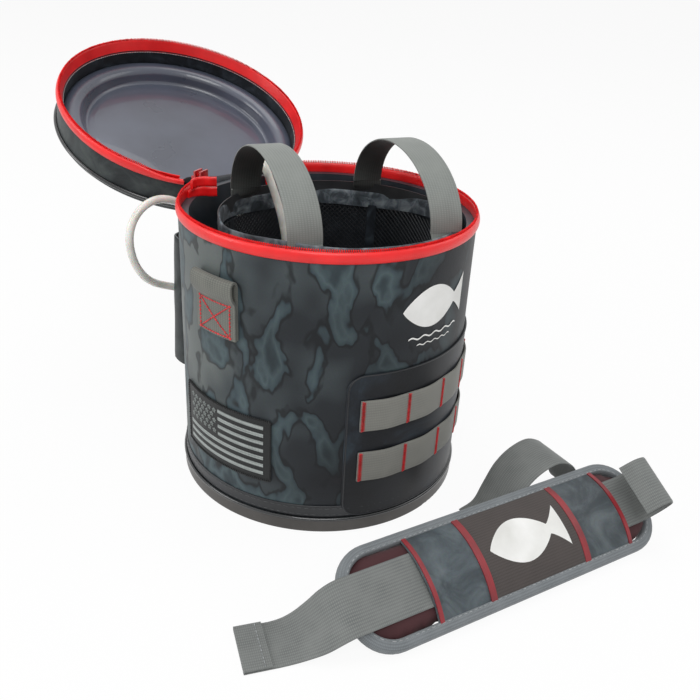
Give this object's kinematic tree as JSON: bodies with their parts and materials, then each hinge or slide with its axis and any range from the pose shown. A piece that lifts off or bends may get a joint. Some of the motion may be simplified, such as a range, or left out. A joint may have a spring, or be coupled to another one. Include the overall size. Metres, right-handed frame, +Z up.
{
  "type": "insulated bait bucket",
  "caption": "Soft round insulated bait bucket with a zipped hinged lid, a lift-out net with webbing handles, an air pump pocket with hose, and a loose padded shoulder strap.",
  "frame": {"origin": "centre of the base, on the surface it stands on", "axes": "+Z up, the webbing rows face -Y, the lid hinges at the back, +X to the right of the rows"},
  "size_m": [0.3798, 0.6163, 0.2977],
  "materials": {
    "shell_print": "coated, soft camouflage print",
    "tub_plastic": "moulded, smooth",
    "welt_gloss": "glossy bead",
    "foam": "closed-cell foam",
    "liner_vinyl": "welded vinyl",
    "zip_red": "coated tape",
    "zip_coil": "coil teeth",
    "dark_fabric": "coated",
    "dish_plastic": "moulded, satin",
    "slider_metal": "painted die casting",
    "grey_webbing": "woven webbing",
    "row_webbing": "woven webbing",
    "red_thread": "sewn thread",
    "patch_rubber": "moulded patch",
    "hose_vinyl": "soft vinyl hose",
    "pump_plastic": "moulded",
    "red_plastic": "moulded",
    "motor_steel": "plated",
    "cell_can": "printed can",
    "mesh_black": "knotless mesh",
    "stone": "sintered grains",
    "maroon_fabric": "woven",
    "taupe_fabric": "woven"
  },
  "bodies": {
    "bucket": {"base_tub": "tub_plastic", "base_welt": "welt_gloss", "outer_shell": "shell_print", "foam_sleeve": "foam", "base_foam": "foam", "inner_liner": "liner_vinyl", "rim_zip_tape": "zip_red", "rim_zip_coil": "zip_coil", "zip_end_tabs": "zip_red", "hinge_strip": "shell_print", "front_panel": "shell_print", "webbing_row_upper": "row_webbing", "webbing_row_lower": "row_webbing", "row_bartacks": "red_thread", "strap_loop_left": "grey_webbing", "strap_loop_right": "grey_webbing", "loop_stitching": "red_thread", "flag_patch": "patch_rubber", "pump_pocket": "shell_print", "pocket_hem": "grey_webbing", "hose_port": "pump_plastic", "port_nut": "pump_plastic", "hose_outer": "hose_vinyl", "hose_inner": "hose_vinyl", "pump_case_back": "pump_plastic", "pump_case_front": "pump_plastic", "pump_motor": "motor_steel", "pump_diaphragm": "pump_plastic", "pump_cell": "cell_can", "pump_nozzle": "pump_plastic"},
    "pump_button": {"pump_switch": "red_plastic"},
    "lid": {"lid_skin": "shell_print", "lid_foam": "foam", "lid_wall_liner": "dark_fabric", "lid_dish": "dish_plastic", "lid_zip_tape": "zip_red", "lid_zip_coil": "zip_coil", "lid_welt": "welt_gloss"},
    "zip_slider": {"slider_body": "slider_metal"},
    "zip_pull": {"slider_pull": "slider_metal"},
    "net": {"net_collar": "dark_fabric", "collar_stiffener": "pump_plastic", "net_wall": "mesh_black", "net_floor": "mesh_black", "handle_tails": "grey_webbing", "air_stone": "stone", "stone_barb": "pump_plastic"},
    "handle_left": {"handle_left": "grey_webbing"},
    "handle_right": {"handle_right": "grey_webbing"},
    "shoulder_strap": {"pad_base": "maroon_fabric", "pad_binding": "grey_webbing", "pad_sleeve": "shell_print", "sleeve_centre_panel": "taupe_fabric", "sleeve_trims": "red_thread", "strap_webbing": "grey_webbing", "strap_end_hem": "grey_webbing", "webbing_tail": "grey_webbing"}
  },
  "joints": [
    {"name": "lid_hinge", "type": "hinge", "parent": "bucket", "child": "lid", "pos_m": [0.02512, 0.11427, 0.2153], "axis": [-0.9767, 0.2147, 0], "range_deg": [-156.75, 0], "deforming": ["hinge_strip"]},
    {"name": "net_lift", "type": "slide", "parent": "bucket", "child": "net", "axis": [0, 0, 1], "range_m": [0, 0.25], "deforming": ["hose_inner"]},
    {"name": "handle_left_fold", "type": "hinge", "parent": "net", "child": "handle_left", "pos_m": [-0.04272, 0.01656, 0.2163], "axis": [0.454, 0.891, 0], "range_deg": [0, 93.5]},
    {"name": "handle_right_fold", "type": "hinge", "parent": "net", "child": "handle_right", "pos_m": [0.05172, -0.03156, 0.2163], "axis": [-0.454, -0.891, 0], "range_deg": [0, 64.5]},
    {"name": "zip_run", "type": "hinge", "parent": "bucket", "child": "zip_slider", "pos_m": [0, 0, 0.224], "axis": [0, 0, 1], "range_deg": [0, 318.8]},
    {"name": "pull_swing", "type": "hinge", "parent": "zip_slider", "child": "zip_pull", "pos_m": [-0.03597, 0.1107, 0.222], "axis": [-0.9511, -0.309, 0], "range_deg": [-100, 0]},
    {"name": "pump_press", "type": "slide", "parent": "bucket", "child": "pump_button", "axis": [0, 0, -1], "range_m": [0, 0.0015], "stiffness_N_per_m": 200},
    {"name": "strap_lift", "type": "slide", "parent": "bucket", "child": "shoulder_strap", "axis": [0, 0, 1], "range_m": [0, 0.3]}
  ],
  "couplings": [
    {"joint": "handle_left_fold", "follows": "lid_hinge", "ratio": -0.5933},
    {"joint": "handle_right_fold", "follows": "lid_hinge", "ratio": -0.40829}
  ]
}
